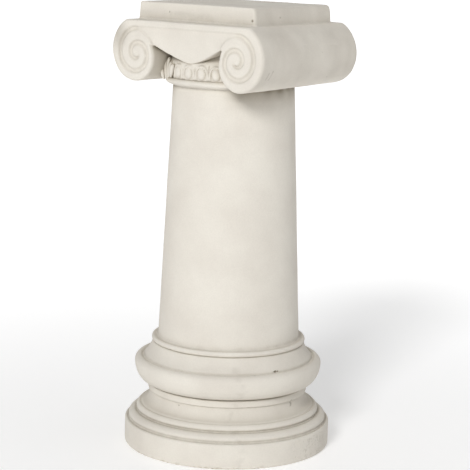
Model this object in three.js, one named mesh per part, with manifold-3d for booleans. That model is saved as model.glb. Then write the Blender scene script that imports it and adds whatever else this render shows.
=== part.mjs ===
// Ionic column, cast in one piece from a pale stone mix.
// Millimetres, z up, front towards -y, origin at the middle of the underside.

import * as THREE from "three";
import { mergeVertices } from "three/addons/utils/BufferGeometryUtils.js";
import Module from "manifold-3d";

const wasm = await Module();
wasm.setup();

// Whole column
const columnHeight = 800;
const roundFacets = 44;
const jointOverlap = 3;

// Plinth and the mouldings over it, each rise stacked on the one below
const plinthRadius = 187.6;
const plinthHeight = 45.4;
const plinthEdgeWear = 2;
const stepRise = 14.6;
const stepInset = 19.8;
const creaseDepth = 1.6;
const lowerBeadRise = 12.9;
const lowerBeadInset = 8.2;
const scotiaRise = 26.1;
const scotiaInset = 16.6;
const scotiaHollow = 6.2;
const filletRise = 15.1;
const torusRise = 47.7;
const torusBulge = 26.3;
const torusShoulder = 14.5;
const torusWidestShare = 0.77;
const torusGroove = 2.1;
const bandFootGap = 2.6;
const bandRise = 28.6;
const bandInset = 17.6;
const bandHollow = 1.6;
const footBeadRise = 10.6;
const footBeadBulge = 9;

// Plain tapering shaft
const shaftFootRadius = 128.6;
const shaftNeckRadius = 108.7;

// Bead at the neck and the round echinus that carries the eggs
const neckBeadRise = 15;
const neckBeadBulge = 12;
const echinusRadius = 118.5;
const echinusBelowSlabTop = 97.5;
const echinusRise = 26;
const echinusShoulder = 10.5;
const echinusShoulderRise = 9;

// Eggs, the raised shells around them and the darts between, the row turned a little off the middle
const eggPitch = 13.3;
const eggRowTurn = -2.4;
const eggsEachSideOfMiddle = 2;
const eggHalfWidth = 7.6;
const eggHalfHeight = 10.5;
const eggProud = 5.5;
const eggMiddleRise = 10;
const shellGap = 3.2;
const shellWidth = 2.8;
const shellProud = 3;
const dartHalfWidth = 2.6;
const dartProud = 3;
const dartLength = 21;

// Slab with a roll at each side, seen from the front as two volutes
const slabDepth = 274;
const eyeSpacing = 226.4;
const eyeBelowSlabTop = 58.8;
const voluteStartRadius = 66.5;
const voluteOuterRadius = 58.5;
const voluteLowerRadius = 49.5;
const voluteInnerRadius = 39.5;
const frontRightDroop = 4.5;
const rollEdgeRounding = 9;
const slabEdgeRounding = 2;

// Spiral channel sunk in each volute, between an outer and an inner wall that wind in at their own rates
const channelOuterStartRadius = 48.7;
const channelOuterWindings = 2.2;
const channelOuterCurve = 1.2;
const channelInnerStartRadius = 39;
const channelInnerWindings = 2.1;
const channelInnerCurve = 1.35;
const channelTurns = 1.6;
const channelDepth = 3.4;

// Hollow front between the volutes, with its lower lip hanging as a drop over the eggs
const topFilletWidth = 11.5;
const hollowDepthUnderFillet = 2.4;
const hollowDepthAtLip = 18.5;
const hollowDepthAtVolutes = 3.6;
const dropBelowSlabTop = 71.5;
const dropTipOffset = 4;
const dropTipHalfWidth = 10;
const lipEndTurn = 0.83;

// Palmette leaf in each corner between a roll and the eggs, split by a slit
const leafHalfHeight = 15;
const leafHalfWidth = 7;
const leafHalfLength = 12;
const leafSpacing = 158;
const leafFromAxis = 97;
const leafAboveEchinusFoot = 4.5;
const leafTurn = 62;
const leafSlitWidth = 2;
const leafSlitDepth = 5;
const leafSlitHeight = 21;

// Abacus block on top
const abacusHeight = 31.2;
const abacusWidth = 263;
const abacusDepth = 217;
const abacusTaper = 3;
const abacusTopWear = 5;
const abacusRightWear = 9;
const abacusCornerRadius = 5;

const slabTop = columnHeight - abacusHeight;
const eyeHeight = slabTop - eyeBelowSlabTop;
const eyeX = eyeSpacing / 2;
const faceY = -slabDepth / 2;
const echinusFoot = slabTop - echinusBelowSlabTop;
const eggMiddle = echinusFoot + eggMiddleRise;

// A closed solid from a three.js geometry, with doubled corners joined and flat slivers left out
function solidOf(geometry) {
  const bare = geometry.clone();
  bare.deleteAttribute("normal");
  bare.deleteAttribute("uv");
  const merged = mergeVertices(bare, 1e-4);
  const corners = merged.index.array;
  const kept = [];
  for (let i = 0; i < corners.length; i += 3) {
    const [a, b, c] = [corners[i], corners[i + 1], corners[i + 2]];
    if (a !== b && b !== c && c !== a) {
      kept.push(a, b, c);
    }
  }
  return new wasm.Manifold(
    new wasm.Mesh({
      numProp: 3,
      vertProperties: new Float32Array(merged.attributes.position.array),
      triVerts: new Uint32Array(kept),
    }),
  );
}

// Flat four-cornered outline that closes the ends of a lofted bar
function squareCap() {
  return [0, 1, 2, 3].map((i) => new THREE.Vector2(Math.cos((i * Math.PI) / 2), Math.sin((i * Math.PI) / 2)));
}

// A solid through a row of closed rings of equal count, capped flat at both ends
function loftSolid(rings, capOutline) {
  const count = rings[0].length;
  const positions = rings.flat().flatMap((p) => [p.x, p.y, p.z]);
  const faces = [];
  for (let k = 0; k < rings.length - 1; k += 1) {
    for (let i = 0; i < count; i += 1) {
      const j = (i + 1) % count;
      const [a, b] = [k * count + i, k * count + j];
      const [c, d] = [a + count, b + count];
      faces.push(a, b, d, a, d, c);
    }
  }
  const last = (rings.length - 1) * count;
  const outlineTurn = Math.sign(THREE.ShapeUtils.area(capOutline));
  for (const [a, b, c] of THREE.ShapeUtils.triangulateShape(capOutline, [])) {
    const corner = [capOutline[a], capOutline[b], capOutline[c]];
    const [p, q] = Math.sign(THREE.ShapeUtils.area(corner)) === outlineTurn ? [b, c] : [c, b];
    faces.push(a, q, p);
    faces.push(last + a, last + p, last + q);
  }
  const geometry = new THREE.BufferGeometry();
  geometry.setAttribute("position", new THREE.Float32BufferAttribute(positions, 3));
  geometry.setIndex(faces);
  const solid = solidOf(geometry);
  if (solid.volume() > 0) {
    return solid;
  }
  geometry.setIndex(faces.slice().reverse());
  return solidOf(geometry);
}

function mirroredFrontToBack(solid) {
  return solid.mirror([0, 1, 0]);
}

// Round body: plinth, base mouldings, shaft, neck bead and echinus turned on one axis
function turnedBody() {
  const profile = [];
  const at = (radius, z) => profile.push(new THREE.Vector2(radius, z));
  at(0, 0);
  at(plinthRadius - plinthEdgeWear, 0);
  at(plinthRadius, plinthEdgeWear);
  at(plinthRadius, plinthHeight - plinthEdgeWear);
  at(plinthRadius - plinthEdgeWear, plinthHeight);

  const stepTop = plinthHeight + stepRise;
  const stepRadius = plinthRadius - stepInset;
  at(plinthRadius - plinthEdgeWear - creaseDepth * 1.6, plinthHeight - creaseDepth * 0.3);
  at(plinthRadius - stepInset * 0.32, plinthHeight + stepRise * 0.4);
  at(plinthRadius - stepInset * 0.66, plinthHeight + stepRise * 0.78);
  at(stepRadius + creaseDepth, stepTop);
  at(stepRadius - creaseDepth, stepTop);

  const lowerBeadTop = stepTop + lowerBeadRise;
  const lowerBeadRadius = stepRadius - lowerBeadInset;
  at(stepRadius + 0.4, stepTop + lowerBeadRise * 0.3);
  at(stepRadius - lowerBeadInset * 0.3, stepTop + lowerBeadRise * 0.75);
  at(lowerBeadRadius + creaseDepth * 0.8, lowerBeadTop);

  const scotiaTop = lowerBeadTop + scotiaRise;
  const scotiaRadius = lowerBeadRadius - scotiaInset;
  for (const share of [0.08, 0.34, 0.66]) {
    const hollow = scotiaHollow * Math.sin(Math.PI * share);
    at(lowerBeadRadius - scotiaInset * share - hollow, lowerBeadTop + scotiaRise * share - hollow * 0.5);
  }
  at(scotiaRadius, scotiaTop);

  const torusFoot = scotiaTop + filletRise;
  const torusTop = torusFoot + torusRise;
  const torusWidest = torusFoot + torusRise * torusWidestShare;
  const torusCore = scotiaRadius + 1;
  at(torusCore, torusFoot);
  for (let i = 1; i <= 4; i += 1) {
    const angle = -Math.PI / 2 + (i / 4) * (Math.PI / 2);
    at(torusCore + torusBulge * Math.cos(angle), torusWidest + Math.sin(angle) * (torusWidest - torusFoot));
  }
  for (let i = 1; i <= 3; i += 1) {
    const angle = (i / 3) * (Math.PI / 2);
    const reach = torusShoulder + (torusBulge - torusShoulder) * Math.cos(angle);
    at(torusCore + reach, torusWidest + Math.sin(angle) * (torusTop - torusWidest));
  }

  const bandFoot = torusTop - torusGroove;
  const bandRadius = torusCore + torusShoulder - bandFootGap;
  const bandTop = bandFoot + bandRise;
  const bandTopRadius = bandRadius - bandInset;
  at(bandRadius, bandFoot);
  at(bandRadius - bandInset / 2 - bandHollow, bandFoot + bandRise / 2 - bandHollow);
  at(bandTopRadius, bandTop);

  const shaftFoot = bandTop + footBeadRise;
  for (const angle of [-0.9, -0.3, 0.35, 1]) {
    const reach = footBeadBulge * (0.6 * Math.cos(angle) - 0.45);
    at(bandTopRadius + reach, bandTop + footBeadRise * (0.5 + 0.5 * Math.sin(angle)));
  }
  at(shaftFootRadius, shaftFoot);

  const neckFoot = echinusFoot - neckBeadRise;
  at(shaftNeckRadius, neckFoot);
  for (let i = 0; i <= 5; i += 1) {
    const height = Math.sin(((2 * i) / 5 - 1) * (Math.PI / 2));
    const reach = neckBeadBulge * Math.pow(Math.max(0, 1 - height * height), 0.45);
    at(shaftNeckRadius + 1 + reach, neckFoot + (neckBeadRise * (1 + height * 0.97)) / 2);
  }

  const echinusTop = echinusFoot + echinusRise;
  at(echinusRadius - 1, echinusFoot);
  at(echinusRadius, echinusFoot + echinusRise * 0.8);
  at(echinusRadius - echinusShoulder * 0.3, echinusTop);
  at(echinusRadius - echinusShoulder * 0.5, echinusTop + echinusShoulderRise * 0.6);
  at(echinusRadius - echinusShoulder, echinusTop + echinusShoulderRise);
  at(0, echinusTop + echinusShoulderRise + 6);

  const turned = new THREE.LatheGeometry(profile, roundFacets);
  turned.rotateX(Math.PI / 2);
  return solidOf(turned);
}

// Volute outline radius around its eye; turn 0 is the top, 0.25 the outer side, 0.5 the bottom
function outlineRadius(turn, droop) {
  const quarters = [voluteStartRadius, voluteOuterRadius, voluteLowerRadius + droop, voluteInnerRadius];
  const quarter = Math.min(2, Math.floor(turn * 4));
  const share = turn * 4 - quarter;
  return quarters[quarter] + (quarters[quarter + 1] - quarters[quarter]) * share;
}

// Lower lip of the hollow front: height of its edge at a distance x from the middle
function lipHeight(x, endX, endZ) {
  const tipZ = slabTop - dropBelowSlabTop;
  const shifted = x - dropTipOffset * (1 - Math.abs(x) / endX);
  const rounded = Math.hypot(shifted, dropTipHalfWidth) - dropTipHalfWidth;
  const spread = Math.hypot(endX, dropTipHalfWidth) - dropTipHalfWidth;
  return tipZ + (endZ - tipZ) * Math.pow(Math.min(1, rounded / spread), 1.15);
}

// Outline of the slab and both rolls, seen from the front, as points that carry their edge rounding
function slabOutline(rightDroop) {
  const half = (side, droop) => {
    const points = [];
    for (let i = 0; i <= 20; i += 1) {
      const turn = (i / 20) * lipEndTurn;
      const angle = turn * 2 * Math.PI;
      const radius = outlineRadius(turn, droop);
      const ease = Math.min(1, turn / 0.12, (lipEndTurn - turn) / 0.05);
      points.push({
        x: side * (eyeX + radius * Math.sin(angle)),
        z: Math.min(slabTop, eyeHeight + radius * Math.cos(angle)),
        rounding: slabEdgeRounding + (rollEdgeRounding - slabEdgeRounding) * Math.max(0, ease),
      });
    }
    return points;
  };
  const right = half(1, rightDroop);
  const left = half(-1, 0).reverse();
  const end = right[right.length - 1];
  const endX = end.x - 1;
  const lip = [];
  for (let i = 1; i < 14; i += 1) {
    const x = endX * (1 - (2 * i) / 14);
    lip.push({ x, z: lipHeight(x, endX, end.z), rounding: slabEdgeRounding });
  }
  return [...right, ...lip, ...left];
}

// Outline drawn in along its own normals by each point's rounding times a share
function drawnIn(outline, share, y) {
  return outline.map((p, i) => {
    const before = outline[(i + outline.length - 1) % outline.length];
    const after = outline[(i + 1) % outline.length];
    const along = new THREE.Vector2(after.x - before.x, after.z - before.z).normalize();
    const inset = p.rounding * share;
    return new THREE.Vector3(p.x + along.y * inset, y, p.z - along.x * inset);
  });
}

// Slab and rolls as one body running front to back, its edges rounded at both faces
function slabBody() {
  const rings = [];
  const steps = [0, 0.65, Math.PI / 2];
  const ringAt = (angle, end) => {
    const droop = end < 0 ? frontRightDroop : 0;
    const outline = slabOutline(droop);
    const share = 1 - Math.sin(angle);
    const back = rollEdgeRounding * (1 - Math.cos(angle));
    rings.push(drawnIn(outline, share, end * (slabDepth / 2 - back)));
  };
  for (const angle of steps) {
    ringAt(angle, -1);
  }
  for (const angle of steps.slice().reverse()) {
    ringAt(angle, 1);
  }
  const cap = rings[0].map((p) => new THREE.Vector2(p.x, p.z));
  return loftSolid(rings, cap);
}

// Cutter for the spiral channel of one volute on the front face
function channelCutter(side) {
  const stepsPerTurn = 14;
  const count = Math.round(channelTurns * stepsPerTurn);
  const highest = slabTop - topFilletWidth;
  const rings = [];
  for (let i = -1; i <= count; i += 1) {
    const turn = (i / count) * channelTurns;
    const angle = turn * 2 * Math.PI;
    const outer = channelOuterStartRadius * Math.pow(1 - turn / channelOuterWindings, channelOuterCurve);
    const inner = channelInnerStartRadius * Math.pow(1 - turn / channelInnerWindings, channelInnerCurve);
    const width = outer - inner;
    const depth = channelDepth * Math.min(1, 0.35 + (0.65 * width) / (channelOuterStartRadius - channelInnerStartRadius));
    const section = [
      [outer + 0.6, -1],
      [outer - width * 0.3, depth],
      [inner + width * 0.3, depth],
      [inner - 0.6, -1],
    ];
    rings.push(
      section.map(
        ([radius, down]) =>
          new THREE.Vector3(
            side * (eyeX + radius * Math.sin(angle)),
            faceY + down,
            Math.min(highest + (down < 0 ? 0.5 : 0), eyeHeight + radius * Math.cos(angle)),
          ),
      ),
    );
  }
  return loftSolid(rings, squareCap());
}

// Cutter for the hollow between the volutes: shallow under the top fillet, deepest at the lip's middle
function hollowCutter() {
  const topZ = slabTop - topFilletWidth;
  const tipZ = slabTop - dropBelowSlabTop;
  const ridgeReach = eyeX - voluteInnerRadius;
  const overRidge = [0, 0.2, 0.4, 0.6, 0.8, 0.94].map((share) => {
    const angle = (share * Math.PI) / 2;
    return [eyeX - voluteInnerRadius * Math.sin(angle), eyeHeight + channelInnerStartRadius * Math.cos(angle)];
  });
  const overLip = [1, 0.8, 0.6, 0.4, 0.2].map((share) => [ridgeReach * share, tipZ - 6]);
  const rightHalf = [...overRidge, ...overLip, [0, tipZ - 6]];
  const leftHalf = rightHalf.slice(0, -1).reverse().map(([x, z]) => [-x, z]);
  const rows = 3;
  const rings = [...rightHalf, ...leftHalf].map(([x, lowZ]) => {
    const middle = Math.max(0, 1 - Math.pow(x / (ridgeReach + voluteInnerRadius * 0.4), 2));
    const atLip = hollowDepthAtVolutes + (hollowDepthAtLip - hollowDepthAtVolutes) * middle;
    const sunkSide = [];
    const openSide = [];
    for (let j = 0; j <= rows; j += 1) {
      const z = topZ + (lowZ - topZ) * (j / rows);
      const fall = Math.min(1, (topZ - z) / (topZ - tipZ));
      const depth = hollowDepthUnderFillet + (atLip - hollowDepthUnderFillet) * fall;
      sunkSide.push(new THREE.Vector3(x, faceY + depth, z - (j === 0 ? 1.5 : 0)));
      openSide.unshift(new THREE.Vector3(x, faceY - 2, z));
    }
    return [...sunkSide, ...openSide];
  });
  const cap = rings[0].map((p) => new THREE.Vector2(p.y, p.z));
  return loftSolid(rings, cap);
}

// Egg, shell and dart at the front of the round echinus, to be turned to their places
function eggSolid() {
  const egg = new THREE.SphereGeometry(1, 8, 6);
  const seat = 4;
  egg.rotateX(Math.PI / 2);
  egg.scale(eggHalfWidth, eggProud + seat, eggHalfHeight);
  egg.translate(0, seat - echinusRadius, eggMiddle);
  return solidOf(egg);
}

// Raised shell: an arch over the egg with both legs running down to the neck bead
function shellSolid() {
  const steps = 5;
  const acrossHalf = eggHalfWidth + shellGap;
  const archRise = eggHalfHeight + shellGap * 0.75;
  const section = [
    [-shellWidth / 2, -2],
    [-shellWidth / 3, shellProud],
    [shellWidth / 3, shellProud],
    [shellWidth / 2, -2],
  ];
  const ringAt = (x, z, angle) =>
    section.map(([out, proud]) => {
      const around = (x + out * Math.sin(angle)) / echinusRadius;
      const reach = echinusRadius + proud;
      return new THREE.Vector3(reach * Math.sin(around), -reach * Math.cos(around), z + out * Math.cos(angle));
    });
  const rings = [ringAt(-acrossHalf * 0.9, echinusFoot - 1, -Math.PI / 2)];
  for (let i = 0; i <= steps; i += 1) {
    const angle = -Math.PI / 2 + (i / steps) * Math.PI;
    rings.push(ringAt(acrossHalf * Math.sin(angle), eggMiddle + archRise * Math.cos(angle), angle));
  }
  rings.push(ringAt(acrossHalf * 0.9, echinusFoot - 1, Math.PI / 2));
  return loftSolid(rings, squareCap());
}

function dartSolid() {
  const dart = new THREE.ConeGeometry(dartHalfWidth, dartLength, 4);
  dart.rotateX(-Math.PI / 2);
  dart.scale(1, dartProud / dartHalfWidth, 1);
  dart.translate(0, -echinusRadius, eggMiddle);
  return solidOf(dart);
}

// Leaf in the corner between a roll and the eggs, and the cutter of its slit
function atLeaf(solid, side) {
  const leafHeight = echinusFoot + leafAboveEchinusFoot;
  return solid.rotate([0, 0, side * leafTurn]).translate([(side * leafSpacing) / 2, -leafFromAxis, leafHeight]);
}

function leafSolid(side) {
  const leaf = new THREE.SphereGeometry(1, 8, 6);
  leaf.rotateX(Math.PI / 2);
  leaf.scale(leafHalfWidth, leafHalfLength, leafHalfHeight);
  return atLeaf(solidOf(leaf), side);
}

function leafSlitCutter(side) {
  const slit = new THREE.BoxGeometry(leafSlitDepth * 2, leafSlitWidth, leafSlitHeight);
  slit.translate(-side * leafHalfWidth, 0, 0);
  return atLeaf(solidOf(slit), side);
}

// Abacus: a block narrowing slightly upwards, its top edges worn round
function abacusSolid() {
  const levels = [
    [-jointOverlap, 0, 0],
    [abacusHeight * 0.62, abacusTaper * 0.62, abacusTaper * 0.62],
    [abacusHeight - abacusTopWear, abacusTaper, abacusTaper + abacusRightWear * 0.3],
    [abacusHeight - abacusTopWear * 0.3, abacusTaper + abacusTopWear * 0.3, abacusTaper + abacusRightWear * 0.65],
    [abacusHeight, abacusTaper + abacusTopWear, abacusTaper + abacusRightWear],
  ];
  const rings = levels.map(([up, inset, rightInset]) => {
    const left = -abacusWidth / 2 + inset;
    const right = abacusWidth / 2 - rightInset;
    const near = abacusDepth / 2 - inset;
    const ring = [];
    const corners = [
      [right, -near, -1],
      [right, near, 0],
      [left, near, 1],
      [left, -near, 2],
    ];
    for (const [x, y, quarter] of corners) {
      const centreX = x - Math.sign(x) * abacusCornerRadius;
      const centreY = y - Math.sign(y) * abacusCornerRadius;
      for (let i = 0; i <= 3; i += 1) {
        const angle = (quarter + i / 3) * (Math.PI / 2);
        ring.push(
          new THREE.Vector3(
            centreX + abacusCornerRadius * Math.cos(angle),
            centreY + abacusCornerRadius * Math.sin(angle),
            slabTop + up,
          ),
        );
      }
    }
    return ring;
  });
  const cap = rings[0].map((p) => new THREE.Vector2(p.x, p.y));
  return loftSolid(rings, cap);
}

// The front face is worked first and the back face repeats it
let capital = slabBody();
const frontCutters = [hollowCutter(), channelCutter(1), channelCutter(-1)];
for (const cutter of frontCutters) {
  capital = capital.subtract(cutter);
  capital = capital.subtract(mirroredFrontToBack(cutter));
}

let column = turnedBody().add(capital).add(abacusSolid());
for (let i = -eggsEachSideOfMiddle; i <= eggsEachSideOfMiddle; i += 1) {
  const dressed = eggSolid().add(shellSolid()).rotate([0, 0, i * eggPitch + eggRowTurn]);
  column = column.add(dressed).add(mirroredFrontToBack(dressed));
}
for (let i = -eggsEachSideOfMiddle; i < eggsEachSideOfMiddle; i += 1) {
  const dart = dartSolid().rotate([0, 0, (i + 0.5) * eggPitch + eggRowTurn]);
  column = column.add(dart).add(mirroredFrontToBack(dart));
}
for (const side of [-1, 1]) {
  const leaf = leafSolid(side);
  column = column.add(leaf).add(mirroredFrontToBack(leaf));
}
for (const side of [-1, 1]) {
  const slit = leafSlitCutter(side);
  column = column.subtract(slit).subtract(mirroredFrontToBack(slit));
}

const made = column.getMesh();
const geometry = new THREE.BufferGeometry();
geometry.setAttribute("position", new THREE.BufferAttribute(made.vertProperties, made.numProp));
geometry.setIndex(new THREE.BufferAttribute(made.triVerts, 1));
geometry.computeVertexNormals();

const castStone = new THREE.MeshStandardMaterial({ color: 0xdedace, roughness: 0.85, metalness: 0 });
const columnMesh = new THREE.Mesh(geometry, castStone);
columnMesh.name = "ionic_column";

const group = new THREE.Group();
group.name = "ionic_column_group";
group.add(columnMesh);

export default group;
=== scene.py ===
import math

import bmesh
import bpy
import numpy as np
from mathutils import Matrix, Vector, noise


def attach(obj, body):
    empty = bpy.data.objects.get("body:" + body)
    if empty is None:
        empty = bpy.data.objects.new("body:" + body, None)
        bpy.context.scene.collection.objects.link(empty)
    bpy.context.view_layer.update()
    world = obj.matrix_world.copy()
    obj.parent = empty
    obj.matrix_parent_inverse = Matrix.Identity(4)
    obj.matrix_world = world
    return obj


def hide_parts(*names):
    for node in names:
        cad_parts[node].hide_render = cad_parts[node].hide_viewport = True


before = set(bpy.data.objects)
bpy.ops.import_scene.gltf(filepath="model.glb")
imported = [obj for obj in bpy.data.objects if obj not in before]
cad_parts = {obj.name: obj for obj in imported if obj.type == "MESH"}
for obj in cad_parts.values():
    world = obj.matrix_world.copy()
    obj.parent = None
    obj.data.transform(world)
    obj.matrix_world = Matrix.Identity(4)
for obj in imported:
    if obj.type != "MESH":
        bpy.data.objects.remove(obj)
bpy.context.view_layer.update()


# Turned part: plinth, base mouldings, plain tapering shaft, neck bead and echinus, in pale cast stone.
# Its mould was swept round with a template, so each moulding is a true round with soft arrises
# and a thin crease at its foot. All lengths are in millimetres until a mesh is made.
PLINTH_RADIUS = 187.58
SHAFT_FOOT = (128.2, 207.0)
SHAFT_NECK = (109.0, 648.0)
ECHINUS_RADIUS = 118.5
ROUND_COLUMNS = 216
MILLIMETRE = 0.001


def mesh_object(name, points, faces):
    mesh = bpy.data.meshes.new(name)
    scaled = (np.asarray(points, float) * MILLIMETRE).tolist()
    mesh.from_pydata(scaled, [], faces)
    mesh.validate()
    made = bpy.data.objects.new(name, mesh)
    bpy.context.scene.collection.objects.link(made)
    return made


def arc(centre, reach, from_degrees, to_degrees, steps):
    angle = np.radians(np.linspace(from_degrees, to_degrees, steps + 1))
    return np.stack([centre[0] + reach[0] * np.cos(angle), centre[1] + reach[1] * np.sin(angle)], 1)


def curve(start, pull, end, steps):
    t = np.linspace(0, 1, steps + 1)[:, None]
    return (1 - t) ** 2 * np.array(start) + 2 * t * (1 - t) * np.array(pull) + t**2 * np.array(end)


def straight(start, end, steps):
    t = np.linspace(0, 1, steps + 1)[:, None]
    return np.array(start) + t * (np.array(end) - np.array(start))


def column_profile():
    parts = [
        # underside and the drum of the plinth
        straight((30, 0), (184.0, 0), 4),
        arc((183.9, 3.4), (3.5, 3.4), -80, 0, 4),
        straight((PLINTH_RADIUS, 6), (PLINTH_RADIUS, 41.0), 8),
        arc((184.3, 41.8), (3.2, 3.5), 0, 86, 4),
        # step over the plinth, with the bead above it
        curve((183.4, 45.1), (180.2, 44.0), (179.7, 47.2), 4),
        curve((179.7, 47.9), (181.9, 51.6), (178.9, 55.2), 5),
        curve((178.2, 55.9), (175.0, 59.4), (170.2, 60.1), 5),
        curve((169.2, 60.0), (165.4, 59.0), (165.2, 61.6), 4),
        curve((165.3, 62.4), (168.9, 66.6), (161.8, 72.6), 7),
        curve((161.0, 73.0), (157.4, 71.8), (156.6, 74.0), 3),
        # wide hollow and the narrow band that ends it
        curve((156.2, 74.6), (142.6, 77.8), (141.3, 93.6), 9),
        curve((141.2, 95.4), (140.6, 99.2), (143.0, 99.2), 4),
        curve((143.6, 99.2), (145.2, 99.4), (145.2, 101.2), 2),
        straight((145.2, 102.4), (144.9, 110.2), 4),
        curve((144.8, 111.4), (143.2, 113.6), (141.4, 113.4), 3),
        curve((140.8, 113.4), (139.8, 114.6), (144.6, 114.3), 3),
        # fat torus
        arc((144.4, 150.8), (26.0, 36.6), -86, 0, 13),
        arc((158.8, 150.8), (11.6, 10.6), 12, 84, 6),
        # slope up to the bead at the shaft's foot
        curve((159.4, 161.4), (153.4, 156.6), (152.3, 163.2), 5),
        curve((151.8, 164.2), (143.2, 172.6), (138.9, 185.6), 8),
        curve((138.6, 186.8), (135.2, 189.6), (136.6, 189.4), 3),
        arc((136.3, 193.7), (3.5, 4.7), -66, 70, 7),
        curve((136.4, 198.5), (128.6, 196.6), (128.3, 201.8), 5),
        # plain shaft, then the ring at its neck
        straight(SHAFT_FOOT, SHAFT_NECK, 30),
        curve((108.7, 652.4), (107.4, 656.6), (110.6, 656.5), 4),
        arc((109.9, 663.7), (11.8, 7.1), -80, 76, 9),
        curve((112.6, 670.5), (113.8, 669.0), (117.6, 671.6), 3),
        # echinus, and the drum that closes it to the slab
        straight((118.2, 673.4), (ECHINUS_RADIUS, 691), 8),
        curve((118.4, 693), (117.6, 700.0), (112.6, 707.0), 5),
        curve((111.6, 710.0), (110.6, 716.0), (110.4, 738.0), 3),
        curve((108.0, 742.0), (90.0, 744.0), (60.0, 744.0), 2),
    ]
    return np.concatenate(parts)


def turned(name, profile, azimuths):
    count = len(azimuths)
    rings = [
        np.stack([r * np.sin(azimuths), -r * np.cos(azimuths), np.full(count, z)], 1) for r, z in profile
    ]
    middles = np.array([[0, 0, profile[0, 1]], [0, 0, profile[-1, 1]]])
    points = np.concatenate(rings + [middles])
    foot, top = len(points) - 2, len(points) - 1
    faces = []
    for k in range(len(profile) - 1):
        for i in range(count):
            j = (i + 1) % count
            faces.append((k * count + i, k * count + j, (k + 1) * count + j, (k + 1) * count + i))
    last = (len(profile) - 1) * count
    for i in range(count):
        j = (i + 1) % count
        faces.append((foot, j, i))
        faces.append((top, last + i, last + j))
    return mesh_object(name, points, faces)


def smooth_step(value):
    crease_darkening = np.clip(value, 0, 1)
    return crease_darkening * crease_darkening * (3 - 2 * crease_darkening)


round_azimuths = np.linspace(0, 2 * np.pi, ROUND_COLUMNS, endpoint=False)
body = turned("turned_body", column_profile(), round_azimuths)

# Marks in the turned part's cast skin: blow holes of 2 to 5 mm where air sat against the mould,
# a coarse patch low on the plinth's right side, chips along its bottom edge, and the rough line
# where the mould halves met. Azimuths are in degrees from the front.
BLOW_HOLES = [
    # azimuth from the front, height, width across, depth
    (71.9, 162.6, 3.4, 1.6),
    (73.1, 162.8, 4.6, 2.4),
    (74.5, 162.9, 3.4, 1.6),
    (92.1, 99.3, 4.6, 2.4),
    (93.0, 95.6, 2.6, 1.4),
    (93.3, 92.6, 2.4, 1.2),
    (93.7, 89.8, 1.8, 0.8),
    (2.2, 93.6, 2.8, 1.1),
    (54.7, 99.3, 2.4, 1.0),
    (56.5, 161.7, 3.0, 1.0),
    (-8.6, 190.4, 2.4, 1.0),
    (171.0, 128.0, 3.4, 1.5),
    (214.0, 84.0, 3.0, 1.4),
    (262.0, 151.0, 2.8, 1.2),
    (305.0, 108.0, 3.2, 1.4),
    (146.0, 30.0, 3.0, 1.2),
    (236.0, 22.0, 3.6, 1.5),
]
SKIN_REACH = 100
DEGREE_WIDTH = 2.6
HOLE_SURROUND = 3.2
WAVE_DEPTH = 0.28
PATCH_LEFT, PATCH_RIGHT, PATCH_TOP = 70, 116, 44
PATCH_DEPTH = 0.75
CHIPS_LEFT, CHIPS_RIGHT, CHIPS_TOP = -44, 66, 7.5
CHIP_DEPTH = 1.5
SEAM_AZIMUTH = 45.0
SEAM_ROUGHNESS_WIDTH = 6
SEAM_STEP = 0.5
SEAM_TOP = 186
ROLL_SHADE_FOOT, ROLL_SHADE_HEIGHT = 612, 42


def azimuth_of(points):
    return np.degrees(np.arctan2(points[:, 0], -points[:, 1]))


def turn_between(azimuths, middle):
    return (azimuths - middle + 180) % 360 - 180


def coordinates(mesh):
    flat = np.empty(len(mesh.vertices) * 3)
    mesh.vertices.foreach_get("co", flat)
    return flat.reshape(-1, 3) / MILLIMETRE


def set_coordinates(mesh, points):
    mesh.vertices.foreach_set("co", (points * MILLIMETRE).ravel())
    mesh.update()


def noise_at(points, size, seed):
    shift = Vector((seed * 7.3, seed * 3.1, seed * 5.7))
    return np.array([noise.noise(Vector(p) / size + shift) for p in points.tolist()])


def hole_distances(points, holes):
    on_skin = np.hypot(points[:, 0], points[:, 1]) > SKIN_REACH
    found = []
    for azimuth, height, width, _ in holes:
        sideways = turn_between(azimuth_of(points), azimuth) * DEGREE_WIDTH
        off = np.hypot(sideways, points[:, 2] - height)
        middle = points[np.argmin(np.where(on_skin, off, 1e9))]
        found.append(np.linalg.norm(points - middle, axis=1) / (width / 2))
    return found


def refine(mesh, wanted, cuts):
    work = bmesh.new()
    work.from_mesh(mesh)
    work.verts.ensure_lookup_table()
    edges = [e for e in work.edges if wanted[e.verts[0].index] and wanted[e.verts[1].index]]
    bmesh.ops.subdivide_edges(work, edges=edges, cuts=cuts, use_grid_fill=True)
    work.to_mesh(mesh)
    work.free()
    mesh.update()


points = coordinates(body.data)
azimuths = azimuth_of(points)
near_hole = np.zeros(len(points), bool)
for away in hole_distances(points, BLOW_HOLES):
    near_hole |= away < HOLE_SURROUND
in_patch = (azimuths > PATCH_LEFT) & (azimuths < PATCH_RIGHT)
in_patch &= (points[:, 2] > 1) & (points[:, 2] < PATCH_TOP + 2)
in_chips = (azimuths > CHIPS_LEFT) & (azimuths < CHIPS_RIGHT) & (points[:, 2] < CHIPS_TOP + 1.5)
on_side = np.hypot(points[:, 0], points[:, 1]) > SKIN_REACH
refine(body.data, (near_hole | in_patch | in_chips) & on_side, 3)

points = coordinates(body.data)
azimuths = azimuth_of(points)
heights = points[:, 2]
radius = np.hypot(points[:, 0], points[:, 1])
depth = np.zeros(len(points))
stain_and_painted_shade = np.zeros(len(points))
# blow holes
for hole, away in zip(BLOW_HOLES, hole_distances(points, BLOW_HOLES)):
    sunk = smooth_step((1.25 - away) / 0.8)
    depth = np.maximum(depth, hole[3] * sunk)
    stain_and_painted_shade = np.maximum(stain_and_painted_shade, sunk)
# slow waves left by hand finishing
hand_finish = 0.55 * noise_at(points, 62, 1) + 0.22 * noise_at(points, 21, 2)
depth += WAVE_DEPTH - np.clip(0.6 * hand_finish, -WAVE_DEPTH, WAVE_DEPTH)
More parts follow.
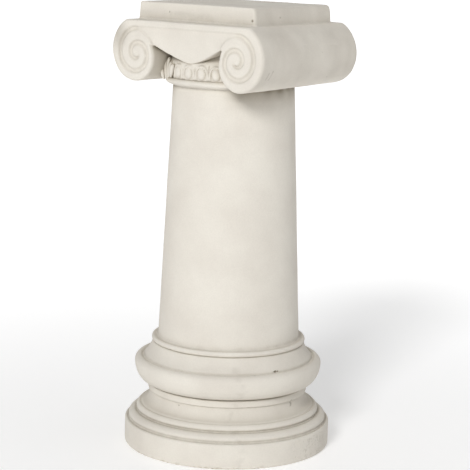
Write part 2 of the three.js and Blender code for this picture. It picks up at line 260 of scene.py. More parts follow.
# coarse patch on the plinth
patch = smooth_step((azimuths - PATCH_LEFT) / 20) * smooth_step((PATCH_RIGHT - azimuths) / 16)
patch = patch * smooth_step((heights - 1) / 5) * smooth_step((PATCH_TOP - heights) / 8)
grit = noise_at(points, 3.0, 3) + 0.5 * noise_at(points, 13, 8)
depth += patch * PATCH_DEPTH * smooth_step((grit - 0.2) / 0.25)
stain_and_painted_shade = np.maximum(stain_and_painted_shade, 0.2 * patch * smooth_step((grit - 0.26) / 0.2))
# chips along the bottom edge
edge = smooth_step((CHIPS_TOP - heights) / 6) * smooth_step((azimuths - CHIPS_LEFT) / 8)
edge = edge * smooth_step((CHIPS_RIGHT - azimuths) / 8)
flattened = points * np.array([1, 1, 1.8])
ragged = noise_at(flattened, 8, 4) + 0.6 * noise_at(flattened, 3.6, 9)
chips = smooth_step((ragged - 0.1) / 0.4)
depth += edge * CHIP_DEPTH * chips
stain_and_painted_shade = np.maximum(stain_and_painted_shade, 0.06 * edge * chips)
# mould seam: it wanders a little, and the skin right of it stands back by the step
seam_line = SEAM_AZIMUTH + 2.5 * np.sin(heights / 17)
seam = np.radians(turn_between(azimuths, seam_line)) * radius
on_base = smooth_step((SEAM_TOP - heights) / 12)
seam_rough = np.exp(-((seam / SEAM_ROUGHNESS_WIDTH) ** 2)) * (0.5 + 1.3 * noise_at(points, 7, 5))
seam_step = SEAM_STEP * smooth_step((seam + 1.5) / 3) * smooth_step((46 - seam) / 40)
depth += on_base * (seam_rough + seam_step)
seam_dirt = np.exp(-((seam / 9) ** 2)) * smooth_step(noise_at(points, 9, 10) / 0.3)
stain_and_painted_shade = np.maximum(stain_and_painted_shade, 0.12 * on_base * seam_dirt)
depth = np.maximum(depth, 0.02) * (radius > SKIN_REACH)
outward = np.stack([points[:, 0], points[:, 1], np.zeros(len(points))], 1) / np.maximum(radius, 1)[:, None]
set_coordinates(body.data, points - outward * depth[:, None])
# painted shadow on the neck just under the rolls, darkest at the top and fading downwards
painted_shadow_span = smooth_step((np.abs(azimuths) - 24) / 26) * smooth_step((158 - np.abs(azimuths)) / 26)
painted_shadow_fall = np.clip((heights - ROLL_SHADE_FOOT) / ROLL_SHADE_HEIGHT, 0, 1) ** 2.2 * (heights < 660)
stain_and_painted_shade = np.maximum(stain_and_painted_shade, painted_shadow_span * painted_shadow_fall * (0.85 + 0.4 * noise_at(points, 16, 14)))
mark = body.data.attributes.new("stain_and_painted_shade", "FLOAT", "POINT")
mark.data.foreach_set("value", stain_and_painted_shade.astype(np.float32))


# Egg-and-dart row on the echinus, front and back: eggs in raised shells with a dart between.
# It is cast with the column in low relief, its hollows partly choked, the row a little off the middle.
EGG_PITCH = 13.3
ROW_TURN = -2.4
EGG_HALF_WIDTH = 7.9
EGG_HALF_HEIGHT = 10.5
EGG_MIDDLE = 681.3
EGG_PROUD = 5.2
SHELL_GAP = 3.0
SHELL_PROUD = 3.1
DART_PROUD = 3.0
DART_TOP = 693
ROW_LEFT = -24.0
ROW_RIGHT = 36.0
ROW_FOOT, ROW_TOP = 669.6, 698.4
BAND_BACK = 104


def egg_relief(angle, height):
    nearest = np.clip(np.round((angle - ROW_TURN) / EGG_PITCH), -1, 2)
    across = np.radians(angle - ROW_TURN - nearest * EGG_PITCH) * ECHINUS_RADIUS
    up = height - EGG_MIDDLE
    inside = 1 - (across / EGG_HALF_WIDTH) ** 2 - (up / EGG_HALF_HEIGHT) ** 2
    egg = EGG_PROUD * np.sqrt(np.clip(inside, 0, 1))
    shell_half_width = EGG_HALF_WIDTH + SHELL_GAP
    lifted = np.maximum(up, 0) / (EGG_HALF_HEIGHT + 2.6)
    ring = np.sqrt((across / shell_half_width) ** 2 + lifted**2)
    shell = SHELL_PROUD * np.exp(-(((ring - 1) * shell_half_width / 1.7) ** 2))
    half_pitch = np.radians(EGG_PITCH / 2) * ECHINUS_RADIUS
    dart_width = 2.0 * np.clip((DART_TOP - height) / 20, 0, 1)
    from_dart = np.abs(np.abs(across) - half_pitch)
    dart = DART_PROUD * np.clip(1 - from_dart / np.maximum(dart_width, 0.01), 0, 1)
    relief = np.maximum(np.maximum(egg, shell), dart * (height > 671.5))
    ends = smooth_step((angle - ROW_LEFT) / 2) * smooth_step((ROW_RIGHT - angle) / 2)
    levels = smooth_step((height - 670.2) / 1.6) * smooth_step((698.0 - height) / 2.5)
    return relief * ends * levels


def ground_radius(height):
    return np.interp(height, [670, 676, 691, 694, 698], [117.2, 118.3, 118.4, 118.2, 117.0])


def egg_band(name, facing):
    angles = np.linspace(ROW_LEFT - 2, ROW_RIGHT + 2, 170)
    heights = np.linspace(ROW_FOOT, ROW_TOP, 30)
    angle, height = np.meshgrid(angles, heights, indexing="ij")
    relief = egg_relief(angle, height)
    # the mould is worn, so the relief is a little blurred both ways
    relief[1:-1] = (relief[:-2] + 4 * relief[1:-1] + relief[2:]) / 6
    relief[:, 1:-1] = (relief[:, :-2] + 4 * relief[:, 1:-1] + relief[:, 2:]) / 6
    outer = ground_radius(height) - 0.35 + relief
    turn = np.radians(angle)
    front = np.stack([outer * np.sin(turn), -outer * np.cos(turn), height], -1)
    rear = np.stack([BAND_BACK * np.sin(turn), -BAND_BACK * np.cos(turn), height], -1)
    columns, rows = angle.shape
    grid = np.concatenate([front.reshape(-1, 3), rear.reshape(-1, 3)])
    behind = columns * rows
    faces = []
    for i in range(columns - 1):
        for j in range(rows - 1):
            a, b = i * rows + j, (i + 1) * rows + j
            c, d = b + 1, a + 1
            faces.append((a, b, c, d))
            faces.append((behind + a, behind + d, behind + c, behind + b))
        for j, flip in ((0, False), (rows - 1, True)):
            a, b = i * rows + j, (i + 1) * rows + j
            quad = (a, behind + a, behind + b, b)
            faces.append(quad[::-1] if flip else quad)
    for j in range(rows - 1):
        for i, flip in ((0, True), (columns - 1, False)):
            a, d = i * rows + j, i * rows + j + 1
            quad = (a, behind + a, behind + d, d)
            faces.append(quad[::-1] if flip else quad)
    if facing > 0:
        grid[:, 1] *= -1
        faces = [face[::-1] for face in faces]
    return mesh_object(name, grid, faces)


front_eggs = egg_band("front_eggs", -1)
back_eggs = egg_band("back_eggs", 1)


# Capital, in cast stone poured with the shaft: a slab with a roll at each side, a small lobed leaf
# in each corner by the eggs, and the abacus block. Its edges are worn round, and the right arris
# of the abacus is worn most.
SLAB_TOP = 768.8
SLAB_HALF_DEPTH = 136.6
EYE_X = 113.2
EYE_Z = 710.0
FILLET_FOOT = SLAB_TOP - 11.5
LIP_TIP = SLAB_TOP - 73.0
LIP_LEAN = 4  # the tip of the lip hangs this far left of the middle
LIP_TIP_ROUNDING = 6
LIP_EDGE_ROUNDING = 2
LIP_END_TURN = 0.83
LIP_END_REACH = 36.3
FRONT_ROLL_DROOP = 4.5
RIM_ROUNDING = 7.0
ABACUS_HALF = (132.0, 108.7)
WORN_CORNER, KEPT_CORNER = 5.5, 3
QUICK_VOXEL, FINE_VOXEL = 0.0036, 0.0016
CAPITAL_TRIANGLES = 61000


def roll_radius(turn, droop):
    return np.interp(turn, [0, 0.25, 0.5, 0.75, 0.85], [66.5, 58.5, 49.5 + droop, 39.5, 35.5])


def lip_height(x, end_x, end_z):
    shifted = x + LIP_LEAN * (1 - np.abs(x) / end_x)
    rounded = np.hypot(shifted, LIP_TIP_ROUNDING) - LIP_TIP_ROUNDING
    spread = np.hypot(end_x, LIP_TIP_ROUNDING) - LIP_TIP_ROUNDING
    return LIP_TIP + (end_z - LIP_TIP) * np.power(np.clip(rounded / spread, 0, 1), 1.15)


LIP_END_X = EYE_X + LIP_END_REACH * math.sin(LIP_END_TURN * 2 * math.pi) - 1
LIP_END_Z = EYE_Z + LIP_END_REACH * math.cos(LIP_END_TURN * 2 * math.pi)


def slab_outline(droop):
    turn = np.linspace(0, LIP_END_TURN, 96)
    angle = turn * 2 * np.pi
    ease = np.clip(np.minimum(turn / 0.12, (LIP_END_TURN - turn) / 0.05), 0, 1)
    rounding = LIP_EDGE_ROUNDING + (RIM_ROUNDING - LIP_EDGE_ROUNDING) * ease

    def roll(side, own_droop):
        reach = roll_radius(turn, own_droop)
        x = side * (EYE_X + reach * np.sin(angle))
        z = np.minimum(SLAB_TOP, EYE_Z + reach * np.cos(angle))
        return np.stack([x, z, rounding], 1)

    right = roll(1, droop)
    left = roll(-1, 0)[::-1]
    x = np.linspace(LIP_END_X, -LIP_END_X, 72)[1:-1]
    lip_z = lip_height(x, LIP_END_X, LIP_END_Z)
    lip = np.stack([x, lip_z, np.full(len(x), float(LIP_EDGE_ROUNDING))], 1)
    return np.concatenate([right, lip, left])


def loft(name, rings):
    count = len(rings[0])
    faces = []
    for k in range(len(rings) - 1):
        for i in range(count):
            j = (i + 1) % count
            faces.append((k * count + i, k * count + j, (k + 1) * count + j, (k + 1) * count + i))
    last = (len(rings) - 1) * count
    faces.append(tuple(range(count - 1, -1, -1)))
    faces.append(tuple(range(last, last + count)))
    return mesh_object(name, np.concatenate(rings), faces)


def slab_rings():
    rings = []
    for end in (-1, 1):
        angles = np.radians(np.linspace(0, 90, 8))
        for angle in angles if end < 0 else angles[::-1]:
            outline = slab_outline(FRONT_ROLL_DROOP if end < 0 else 0)
            along = np.roll(outline[:, :2], -1, 0) - np.roll(outline[:, :2], 1, 0)
            along /= np.maximum(np.hypot(along[:, 0], along[:, 1]), 1e-6)[:, None]
            inset = outline[:, 2] * (1 - math.sin(angle))
            y = end * (SLAB_HALF_DEPTH - RIM_ROUNDING * (1 - math.cos(angle)))
            x = outline[:, 0] + along[:, 1] * inset
            z = outline[:, 1] - along[:, 0] * inset
            rings.append(np.stack([x, np.full(len(x), y), z], 1))
    return rings


def abacus_rings():
    # height, inset of three sides, inset of the worn right side
    levels = [
        (SLAB_TOP - 4, 0, 0),
        (SLAB_TOP + 4, 0, 0),
        (SLAB_TOP + 14, 0.4, 0.5),
        (SLAB_TOP + 22, 0.8, 1.6),
        (SLAB_TOP + 26.4, 1.1, 2.8),
        (SLAB_TOP + 29.2, 1.4, 4.4),
        (SLAB_TOP + 30.7, 2.1, 6.4),
        (SLAB_TOP + 31.15, 3.6, 9.5),
        (SLAB_TOP + 31.2, 9.0, 15.0),
    ]
    rings = []
    for z, inset, right_inset in levels:
        ring = []
        for right, near, quarter in ((1, -1, -1), (1, 1, 0), (-1, 1, 1), (-1, -1, 2)):
            corner_x = right * ABACUS_HALF[0] - (right_inset if right > 0 else -inset)
            corner_y = near * (ABACUS_HALF[1] - inset)
            rounding = WORN_CORNER if right > 0 else KEPT_CORNER
            for angle in np.radians(quarter * 90 + np.linspace(0, 90, 7)):
                x = corner_x - right * rounding + rounding * math.cos(angle)
                y = corner_y - near * rounding + rounding * math.sin(angle)
                ring.append((x, y, z))
        rings.append(np.array(ring))
    return rings


PETALS = [
    # foot and tip of each lobe in the front left corner, half its width, half its thickness
    ((-80.0, -97.0, 664.0), (-86.0, -100.0, 692.5), 4.3, 5.0),
    ((-75.0, -96.4, 663.0), (-75.4, -97.0, 699.5), 3.6, 4.6),
    ((-71.6, -97.0, 664.0), (-66.0, -99.8, 704.5), 3.9, 4.2),
    ((-66.0, -99.8, 667.5), (-57.0, -104.8, 697.0), 3.9, 4.0),
    ((-57.2, -105.2, 669.5), (-46.5, -111.5, 693.5), 5.2, 4.6),
]
RIGHT_LOBES = 3


def petal(name, side, facing, foot, tip, half_width, half_thickness):
    columns, rows = 16, 16
    foot, tip = (np.array(end) * np.array([-side, -facing, 1]) for end in (foot, tip))
    along = tip - foot
    half_length = np.linalg.norm(along) / 2
    along = along / np.linalg.norm(along)
    outward = np.array([foot[0] * 0.35, foot[1], 0])
    outward = outward - along * (outward @ along)
    outward = outward / np.linalg.norm(outward)
    across = np.cross(along, outward)
    points = []
    for j in range(1, rows):
        rise = math.pi * j / rows
        swell = math.sin(rise) ** 0.8 * (1 - 0.22 * math.cos(rise))
        for i in range(columns):
            around = 2 * math.pi * i / columns
            offset = across * half_width * math.cos(around) + outward * half_thickness * math.sin(around)
            core = (foot + tip) / 2 - along * half_length * math.cos(rise)
            points.append(core + offset * swell)
    points += [foot, tip]
    faces = []
    for j in range(rows - 2):
        for i in range(columns):
            k = (i + 1) % columns
            near, far = j * columns, (j + 1) * columns
            faces.append((near + i, near + k, far + k, far + i))
    last = (rows - 2) * columns
    for i in range(columns):
        k = (i + 1) % columns
        faces.append((len(points) - 2, k, i))
        faces.append((len(points) - 1, last + i, last + k))
    return outward_facing(mesh_object(name, points, faces))


def outward_facing(piece):
    work = bmesh.new()
    work.from_mesh(piece.data)
    bmesh.ops.recalc_face_normals(work, faces=work.faces)
    work.to_mesh(piece.data)
    work.free()
    return piece


def join(pieces):
    bpy.ops.object.select_all(action="DESELECT")
    for piece in pieces:
        piece.select_set(True)
    bpy.context.view_layer.objects.active = pieces[0]
    bpy.ops.object.join()
    return pieces[0]


def modified(piece, kind, **settings):
    modifier = piece.modifiers.new(kind.lower(), kind)
    for name, value in settings.items():
        setattr(modifier, name, value)
    seen = bpy.context.evaluated_depsgraph_get()
    shaped = bpy.data.meshes.new_from_object(
        piece.evaluated_get(seen),
        preserve_all_data_layers=True,
        depsgraph=seen,
    )
    piece.modifiers.clear()
    piece.data = shaped
    return piece


slab = loft("slab", slab_rings())
abacus = loft("abacus", abacus_rings())
voxel = FINE_VOXEL
capital = modified(join([slab, abacus]), "REMESH", mode="VOXEL", voxel_size=voxel)

# Carving of the slab's faces, cast in low relief: a rounded channel winds in to the eye of each
# volute, and the face between the volutes is hollowed, deepest at the lip.
EYE_RADIUS = 5.2
EYE_DISH = 1.6
CHANNEL_DEPTH = 4.3
# start radius, number of turns to the middle and power of each wall of the channel
OUTER_WALL = (49.6, 2.2, 1.2)
INNER_WALL = (38.2, 1.6, 1.15)
CHANNEL_START, CHANNEL_END = -0.07, 1.9
HOLLOW_RIM = 2.6
LIP_HOLLOW, LIP_HOLLOW_MORE = 3.6, 14.9
HOLLOW_HALF_WIDTH = 89.5
ROLL_REACH, ROLL_INNER_X = 38.8, 73.9
# the push into the face fades to nothing at this distance from the middle plane
CARVED_FROM_Y = 60


def winding(start, windings, power, turn):
    return start * np.power(np.clip(1 - turn / windings, 0, None), power)


def carved_depth(x, z):
    away_x = np.abs(x) - EYE_X
    away_z = z - EYE_Z
    reach = np.hypot(away_x, away_z)
    turn = np.mod(np.arctan2(away_x, away_z) / (2 * np.pi), 1)
    channel = np.zeros(len(x))
    for lap in (-1, 0, 1):
        wound = turn + lap
        outer = winding(*OUTER_WALL, wound)
        inner = np.maximum(winding(*INNER_WALL, wound), EYE_RADIUS)
        width = np.maximum(outer - inner, 0.1)
        inward = smooth_step((reach - inner) / np.maximum(0.42 * width, 1.6))
        within = smooth_step((outer - reach) / np.maximum(0.24 * width, 1.6)) * inward
        span = smooth_step((wound - CHANNEL_START) / 0.09) * smooth_step((CHANNEL_END - wound) / 0.1)
        channel = np.maximum(channel, CHANNEL_DEPTH * smooth_step(width / 7) * within * span)
    eye_dish = EYE_DISH * np.clip(reach / EYE_RADIUS, 0, 1) ** 2 * (reach < EYE_RADIUS)
    channel = np.maximum(channel, eye_dish)
    under_fillet = smooth_step((FILLET_FOOT + 0.8 - z) / 2.2)
    channel *= np.where(away_z > 0, np.maximum(under_fillet, np.abs(away_x) > 30), 1)
    past_rim = np.where(away_z > 0, reach - ROLL_REACH, ROLL_INNER_X - np.abs(x))
    inside = smooth_step(past_rim / 3.4) * (away_x < 2) * under_fillet
    fall = np.clip((FILLET_FOOT - z) / (FILLET_FOOT - LIP_TIP), 0, 1)
    middle = np.clip(1 - (x / HOLLOW_HALF_WIDTH) ** 2, 0, 1)
    at_lip = LIP_HOLLOW + LIP_HOLLOW_MORE * middle
    lip = lip_height(np.clip(x, -LIP_END_X, LIP_END_X), LIP_END_X, LIP_END_Z)
    over_lip = smooth_step((z - lip + 6) / 4)
    hollow = (HOLLOW_RIM + (at_lip - HOLLOW_RIM) * fall) * inside * over_lip
    return np.maximum(channel, hollow)


points = coordinates(capital.data)
push = carved_depth(points[:, 0], points[:, 2])
share = np.clip((np.abs(points[:, 1]) - CARVED_FROM_Y) / (SLAB_HALF_DEPTH - CARVED_FROM_Y), 0, 1)
below_top = points[:, 2] < SLAB_TOP - 0.5
points[:, 1] -= np.sign(points[:, 1]) * push * share * below_top
set_coordinates(capital.data, points)
capital = modified(capital, "SMOOTH", factor=0.5, iterations=2)

# Marks in the capital's skin: blow holes and two scratches low on the right roll. Painted shade lies on the
# side rolls, and a darker patch lies on the left rim of the front.
CAPITAL_HOLES = [
    # place on the surface, width across, depth
    ((124.6, -107.5, 777.7), 4.4, 2.0),
    ((130.0, -92.0, 776.0), 3.4, 1.2),
    ((131.0, -40.0, 782.0), 2.6, 1.0),
    ((-60.0, -108.0, 784.0), 2.4, 0.9),
    ((170.0, 30.0, 722.0), 3.0, 1.3),
    ((158.0, 64.0, 676.0), 2.8, 1.2),
    ((-168.0, 12.0, 700.0), 3.2, 1.4),
    ((40.0, 108.0, 780.0), 2.8, 1.2),
]
SCRATCHES = [
    # lower and upper end
    ((162.5, -116.4, 681.7), (168.2, -113.2, 693.6)),
    ((161.9, -107.5, 681.1), (169.2, -103.9, 696.5)),
]
SCRATCH_DEPTH = 0.9
CAPITAL_WAVE = 0.35
DARKER_RIM_SPOT = (-160, -130, 742)
DARKER_RIM_REACH = 40
STREAK_HEIGHT = 780

points = coordinates(capital.data)
normals = np.empty(len(points) * 3)
capital.data.vertices.foreach_get("normal", normals)
normals = normals.reshape(-1, 3)
waver = 0.5 * noise_at(points, 48, 6) + 0.3 * noise_at(points, 14, 7)
worn = CAPITAL_WAVE - np.clip(waver, -CAPITAL_WAVE, CAPITAL_WAVE)
# painted shade on faces turned to the sides (the side rolls and the abacus ends), mottled in streaks drawn
# out downwards
stretched_down = points * np.array([1, 1, 0.22])
mottle = 0.8 + 0.45 * np.clip(noise_at(stretched_down, 26, 11) + 0.5 * noise_at(stretched_down, 9, 12), -0.7, 0.7)
stain_and_painted_shade = 0.24 * smooth_step((np.abs(normals[:, 0]) - 0.3) / 0.5) * mottle
# darker patch on the left rim of the front
from_rim = np.linalg.norm(points - np.array(DARKER_RIM_SPOT), axis=1)
stain_and_painted_shade = np.maximum(stain_and_painted_shade, 0.42 * smooth_step((DARKER_RIM_REACH - from_rim) / 30) * mottle)
# faint level streak along the front of the abacus
off_streak = np.abs(points[:, 2] - STREAK_HEIGHT + points[:, 0] * 0.03)
streak = smooth_step((9 - off_streak) / 8) * (points[:, 1] < -100)
broken_streak = smooth_step(noise_at(points * np.array([0.3, 1, 1.5]), 20, 13) / 0.35)
stain_and_painted_shade = np.maximum(stain_and_painted_shade, 0.16 * streak * broken_streak)
for place, width, hole_depth in CAPITAL_HOLES:
    away = np.linalg.norm(points - np.array(place), axis=1) / (width / 2)
    sunk = smooth_step((1.5 - away) / 0.9)
    worn = np.maximum(worn, hole_depth * sunk)
    stain_and_painted_shade = np.maximum(stain_and_painted_shade, sunk)
for start, end in SCRATCHES:
    start, along = np.array(start), np.array(end) - np.array(start)
    share = np.clip(((points - start) @ along) / (along @ along), 0, 1)
    away = np.linalg.norm(points - start - share[:, None] * along, axis=1)
    cut = smooth_step((1.9 - away) / 1.3)
    worn = np.maximum(worn, SCRATCH_DEPTH * cut)
    stain_and_painted_shade = np.maximum(stain_and_painted_shade, 0.5 * cut)
set_coordinates(capital.data, points - normals * worn[:, None])
mark = capital.data.attributes.new("stain_and_painted_shade", "FLOAT", "POINT")
mark.data.foreach_set("value", stain_and_painted_shade.astype(np.float32))
triangles = sum(len(face.vertices) - 2 for face in capital.data.polygons)
capital = modified(capital, "DECIMATE", ratio=min(1, CAPITAL_TRIANGLES / triangles))


# One casting: the turned part, both egg rows, the corner leaves and the capital are poured as a single
# piece of stone, so their skins are joined into one closed skin.
SHARP_DEGREES = 50

petals = []
for facing in (-1, 1):
    for side in (-1, 1):
        lobes = PETALS if side < 0 else PETALS[:RIGHT_LOBES]
        petals += [petal("petal", side, facing, *shape) for shape in lobes]
for other in [capital, front_eggs, back_eggs] + petals:
    body = modified(body, "BOOLEAN", operation="UNION", solver="MANIFOLD", object=other)
    bpy.data.objects.remove(other)
column = body
column.name = "cast_column"
column.data.name = "cast_column"
column.data.shade_smooth()
column.data.set_sharp_from_angle(angle=math.radians(SHARP_DEGREES))


# Cast stone: pale cement and fine crushed limestone, cast in a mould and left matt.
# It gives the eye a warm white with faint cloudy patches and fine sandy grain,
# with grey-ochre painted shade in closed-in places, and dirt together with painted shade in the creases.
CLOUD_WIDTH = 90.9
GRAIN_WIDTH = 2.381
DIRT_PATCH_WIDTH = 15.385
DIMPLE_WIDTH = 6.25
# reach and colour of the painted shade in closed-in places
SHADE_REACH = 0.07
# reach and colour of the dirt and painted shade in creases
CREASE_SHADE_REACH = 0.012
CLOUD_DARK, CLOUD_PALE = "d8d2c8", "e0dbd1"
PAINTED_SHADE_COLOUR = "a89d88"
CREASE_DIRT_AND_SHADE_COLOUR = "80755f"
STAIN_AND_SHADE_COLOUR = "6f6552"


def linear(hex_colour):
    channels = [int(hex_colour[i : i + 2], 16) / 255 for i in (0, 2, 4)]
    return [c / 12.92 if c <= 0.04045 else ((c + 0.055) / 1.055) ** 2.4 for c in channels] + [1]


def add_node(tree, kind, settings, feeds):
    made = tree.nodes.new(kind)
    for name, value in settings.items():
        setattr(made, name, value)
    for socket, value in feeds.items():
        if isinstance(value, bpy.types.NodeSocket):
            tree.links.new(value, made.inputs[socket])
        else:
            made.inputs[socket].default_value = value
    return made


def repeats(width):
    # how often a pattern of this width in millimetres comes in a metre
    return 1 / (width * MILLIMETRE)


def cast_stone():
    material = bpy.data.materials.new("cast_stone")
    material.use_nodes = True
    tree = material.node_tree
    shader = tree.nodes["Principled BSDF"]
    place = add_node(tree, "ShaderNodeTexCoord", {}, {}).outputs["Object"]
    # cloudy patches about 90 mm across
    clouds = add_node(
        tree,
        "ShaderNodeTexNoise",
        {},
        {"Vector": place, "Scale": repeats(CLOUD_WIDTH), "Detail": 5.0, "Roughness": 0.55},
    )
    # sand grains of about 1 mm, drawn coarser, at 2.4 mm, so that they show
    sand = add_node(
        tree,
        "ShaderNodeTexNoise",
        {},
        {"Vector": place, "Scale": repeats(GRAIN_WIDTH), "Detail": 3.0, "Roughness": 0.7},
    )
    cloudy = add_node(
        tree,
        "ShaderNodeMapRange",
        {},
        {"Value": clouds.outputs["Fac"], "From Min": 0.35, "From Max": 0.65},
    )
    patchy = add_node(
        tree,
        "ShaderNodeMix",
        {"data_type": "RGBA"},
        {0: cloudy.outputs["Result"], 6: linear(CLOUD_DARK), 7: linear(CLOUD_PALE)},
    )
    grain = add_node(
        tree,
        "ShaderNodeMapRange",
        {},
        {"Value": sand.outputs["Fac"], "From Min": 0.3, "From Max": 0.7, "To Min": 0.965, "To Max": 1.03},
    )
    grained = add_node(
        tree,
        "ShaderNodeVectorMath",
        {"operation": "SCALE"},
        {0: patchy.outputs[2], "Scale": grain.outputs["Result"]},
    )
    # painted shade: a grey-ochre darkening wherever a place is closed in, drawn from how closed-in it is
    # within 70 mm
    enclosure = add_node(
        tree,
        "ShaderNodeAmbientOcclusion",
        {"samples": 12, "only_local": True},
        {"Distance": SHADE_REACH},
    )
    painted_shade = add_node(
        tree,
        "ShaderNodeMapRange",
        {"interpolation_type": "SMOOTHSTEP"},
        {"Value": enclosure.outputs["AO"], "From Min": 0.95, "From Max": 0.15, "To Min": 0.0, "To Max": 0.45},
    )
    shaded = add_node(
        tree,
        "ShaderNodeMix",
        {"data_type": "RGBA"},
        {0: painted_shade.outputs["Result"], 6: grained.outputs[0], 7: linear(PAINTED_SHADE_COLOUR)},
    )
    # painted shade in creases a few millimetres wide, together with dirt held there, broken up at about 15 mm
    crease_closeness = add_node(
        tree,
        "ShaderNodeAmbientOcclusion",
        {"samples": 12, "only_local": True},
        {"Distance": CREASE_SHADE_REACH},
    )
    broken = add_node(
        tree,
        "ShaderNodeTexNoise",
        {},
        {"Vector": place, "Scale": repeats(DIRT_PATCH_WIDTH), "Detail": 3.0},
    )
    crease_darkening = add_node(
        tree,
        "ShaderNodeMath",
        {"operation": "MULTIPLY_ADD"},
        {0: broken.outputs["Fac"], 1: 0.35, 2: crease_closeness.outputs["AO"]},
    )
    crease_dirt_and_shade = add_node(
        tree,
        "ShaderNodeMapRange",
        {"interpolation_type": "SMOOTHSTEP"},
        {"Value": crease_darkening.outputs[0], "From Min": 1.06, "From Max": 0.45, "To Min": 0.0, "To Max": 0.55},
    )
    creased = add_node(
        tree,
        "ShaderNodeMix",
        {"data_type": "RGBA"},
        {0: crease_dirt_and_shade.outputs["Result"], 6: shaded.outputs[2], 7: linear(CREASE_DIRT_AND_SHADE_COLOUR)},
    )
    # dark dirt in blow holes, scratches, the seam and the coarse patch, together with the painted shadow
    # under the rolls and the painted shade on the capital's sides, all kept in the mesh as a point attribute
    marks = add_node(tree, "ShaderNodeAttribute", {"attribute_name": "stain_and_painted_shade"}, {})
    stain_and_shade_amount = add_node(
        tree,
        "ShaderNodeMapRange",
        {},
        {"Value": marks.outputs["Fac"], "From Min": 0.0, "From Max": 1.0, "To Min": 0.0, "To Max": 0.75},
    )
    stained_and_shaded = add_node(
        tree,
        "ShaderNodeMix",
        {"data_type": "RGBA"},
        {0: stain_and_shade_amount.outputs["Result"], 6: creased.outputs[2], 7: linear(STAIN_AND_SHADE_COLOUR)},
    )
    tree.links.new(stained_and_shaded.outputs[2], shader.inputs["Base Color"])
    # skin left by the mould: slight dimples of about 6 mm with the sand grain over them
    dimples = add_node(
        tree,
        "ShaderNodeTexNoise",
        {},
        {"Vector": place, "Scale": repeats(DIMPLE_WIDTH), "Detail": 2.0},
    )
    skin = add_node(
        tree,
        "ShaderNodeBump",
        {},
        {"Strength": 0.35, "Distance": 0.0006, "Height": dimples.outputs["Fac"]},
    )
    gritty = add_node(
        tree,
        "ShaderNodeBump",
        {},
        {
            "Strength": 0.3,
            "Distance": 0.0004,
            "Height": sand.outputs["Fac"],
            "Normal": skin.outputs["Normal"],
        },
    )
    tree.links.new(gritty.outputs["Normal"], shader.inputs["Normal"])
    # dry and matt, with the mineral's usual IOR and little shine
    shader.inputs["Roughness"].default_value = 0.88
    shader.inputs["IOR"].default_value = 1.5
    shader.inputs["Specular IOR Level"].default_value = 0.35
    return material


column.data.materials.clear()
column.data.materials.append(cast_stone())
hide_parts("ionic_column")
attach(column, "root")


# Studio: a matt white paper floor that glows so as to read as an even pale ground; it glows less near the
# column, which paints shade round the column's foot. A large soft light stands in front, a little to the
# right, a weak one behind on the right, and a broad weak one above.
FLOOR_REACH = 40000
FLOOR_CORNERS = [(-1, -1), (1, -1), (1, 1), (-1, 1)]
NEAR_PAPER, FAR_PAPER = 0.2, 2.2
NEAR_GLOW, FAR_GLOW = 0.22, 0.5
ROOM_STRENGTH = 0.31

floor_points = [(x * FLOOR_REACH, y * FLOOR_REACH, 0) for x, y in FLOOR_CORNERS]
floor = mesh_object("floor", floor_points, [(0, 1, 2, 3)])
paper = bpy.data.materials.new("white_paper")
paper.use_nodes = True
paper_shader = paper.node_tree.nodes["Principled BSDF"]
paper_shader.inputs["Base Color"].default_value = linear("f6f6f6")
paper_shader.inputs["Roughness"].default_value = 0.9
paper_shader.inputs["Emission Color"].default_value = linear("ffffff")
floor_place = add_node(paper.node_tree, "ShaderNodeTexCoord", {}, {}).outputs["Object"]
from_column = add_node(
    paper.node_tree,
    "ShaderNodeVectorMath",
    {"operation": "LENGTH"},
    {0: floor_place},
)
# the paper's glow, lower near the column as painted shade round its foot
glow_less_near_column = add_node(
    paper.node_tree,
    "ShaderNodeMapRange",
    {"interpolation_type": "SMOOTHSTEP"},
    {
        "Value": from_column.outputs["Value"],
        "From Min": NEAR_PAPER,
        "From Max": FAR_PAPER,
        "To Min": NEAR_GLOW,
        "To Max": FAR_GLOW,
    },
)
paper.node_tree.links.new(glow_less_near_column.outputs["Result"], paper_shader.inputs["Emission Strength"])
floor.data.materials.append(paper)

room = bpy.data.worlds.new("room")
bpy.context.scene.world = room
room.use_nodes = True
sky = room.node_tree.nodes["Background"]
sky.inputs["Color"].default_value = linear("ffffff")
sky.inputs["Strength"].default_value = ROOM_STRENGTH
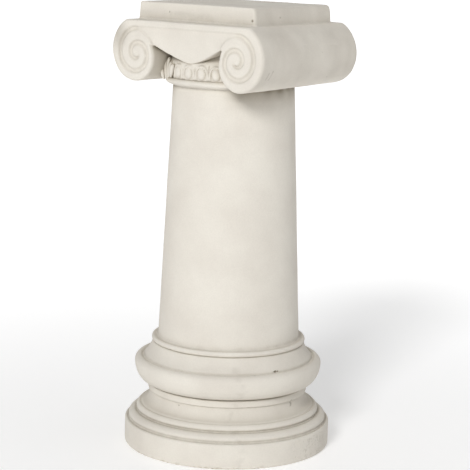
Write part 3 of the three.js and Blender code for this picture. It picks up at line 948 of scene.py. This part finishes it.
# the room lights the column softly and is itself seen as white
white = add_node(
    room.node_tree,
    "ShaderNodeBackground",
    {},
    {"Color": linear("ffffff"), "Strength": 1.0},
)
ray = add_node(room.node_tree, "ShaderNodeLightPath", {}, {})
seen_white = add_node(
    room.node_tree,
    "ShaderNodeMixShader",
    {},
    {0: ray.outputs["Is Camera Ray"], 1: sky.outputs[0], 2: white.outputs[0]},
)
room.node_tree.links.new(seen_white.outputs[0], room.node_tree.nodes["World Output"].inputs["Surface"])
bpy.context.scene.view_settings.view_transform = "Standard"


def soft_light(name, azimuth, elevation, strength, spread):
    lamp = bpy.data.lights.new(name, "SUN")
    lamp.energy = strength
    lamp.angle = math.radians(spread)
    holder = bpy.data.objects.new(name, lamp)
    bpy.context.scene.collection.objects.link(holder)
    turn, rise = math.radians(azimuth), math.radians(elevation)
    towards = Vector((math.sin(turn) * math.cos(rise), -math.cos(turn) * math.cos(rise), math.sin(rise)))
    holder.rotation_euler = towards.to_track_quat("Z", "Y").to_euler()


soft_light("key", 20, 28, 1.74, 16)
soft_light("rear_fill", 118, 50, 0.2, 60)
soft_light("overhead", -150, 66, 0.36, 60)

# Camera: a long lens about 3.1 m off, a little above the capital's height, turned to the column's
# right front and tilted by just over a degree, as the photo was taken.
AZIMUTH = math.radians(39.006)
ELEVATION = math.radians(10.50)
ROLL = math.radians(1.30)
AIM_HEIGHT = 0.38173
AIM_RIGHT = 0.00891
CAMERA_DISTANCE = 3.12509
LENS = 132.2
HALF_PIXEL = 0.5 / 470
back = Vector(
    (
        math.sin(AZIMUTH) * math.cos(ELEVATION),
        -math.cos(AZIMUTH) * math.cos(ELEVATION),
        math.sin(ELEVATION),
    )
)
level = Vector((math.cos(AZIMUTH), math.sin(AZIMUTH), 0))
upright = back.cross(level)
right = math.cos(ROLL) * level + math.sin(ROLL) * upright
up = -math.sin(ROLL) * level + math.cos(ROLL) * upright
stand = Vector((0, 0, AIM_HEIGHT)) + AIM_RIGHT * level + CAMERA_DISTANCE * back
camera = bpy.data.cameras.new("camera")
camera.sensor_width = 36
camera.lens = LENS
camera.shift_x = -HALF_PIXEL
camera.shift_y = HALF_PIXEL
camera.clip_end = 100
camera_object = bpy.data.objects.new("camera", camera)
camera_object.matrix_world = Matrix(
    (
        (right.x, up.x, back.x, stand.x),
        (right.y, up.y, back.y, stand.y),
        (right.z, up.z, back.z, stand.z),
        (0, 0, 0, 1),
    )
)
bpy.context.scene.collection.objects.link(camera_object)
bpy.context.scene.camera = camera_object
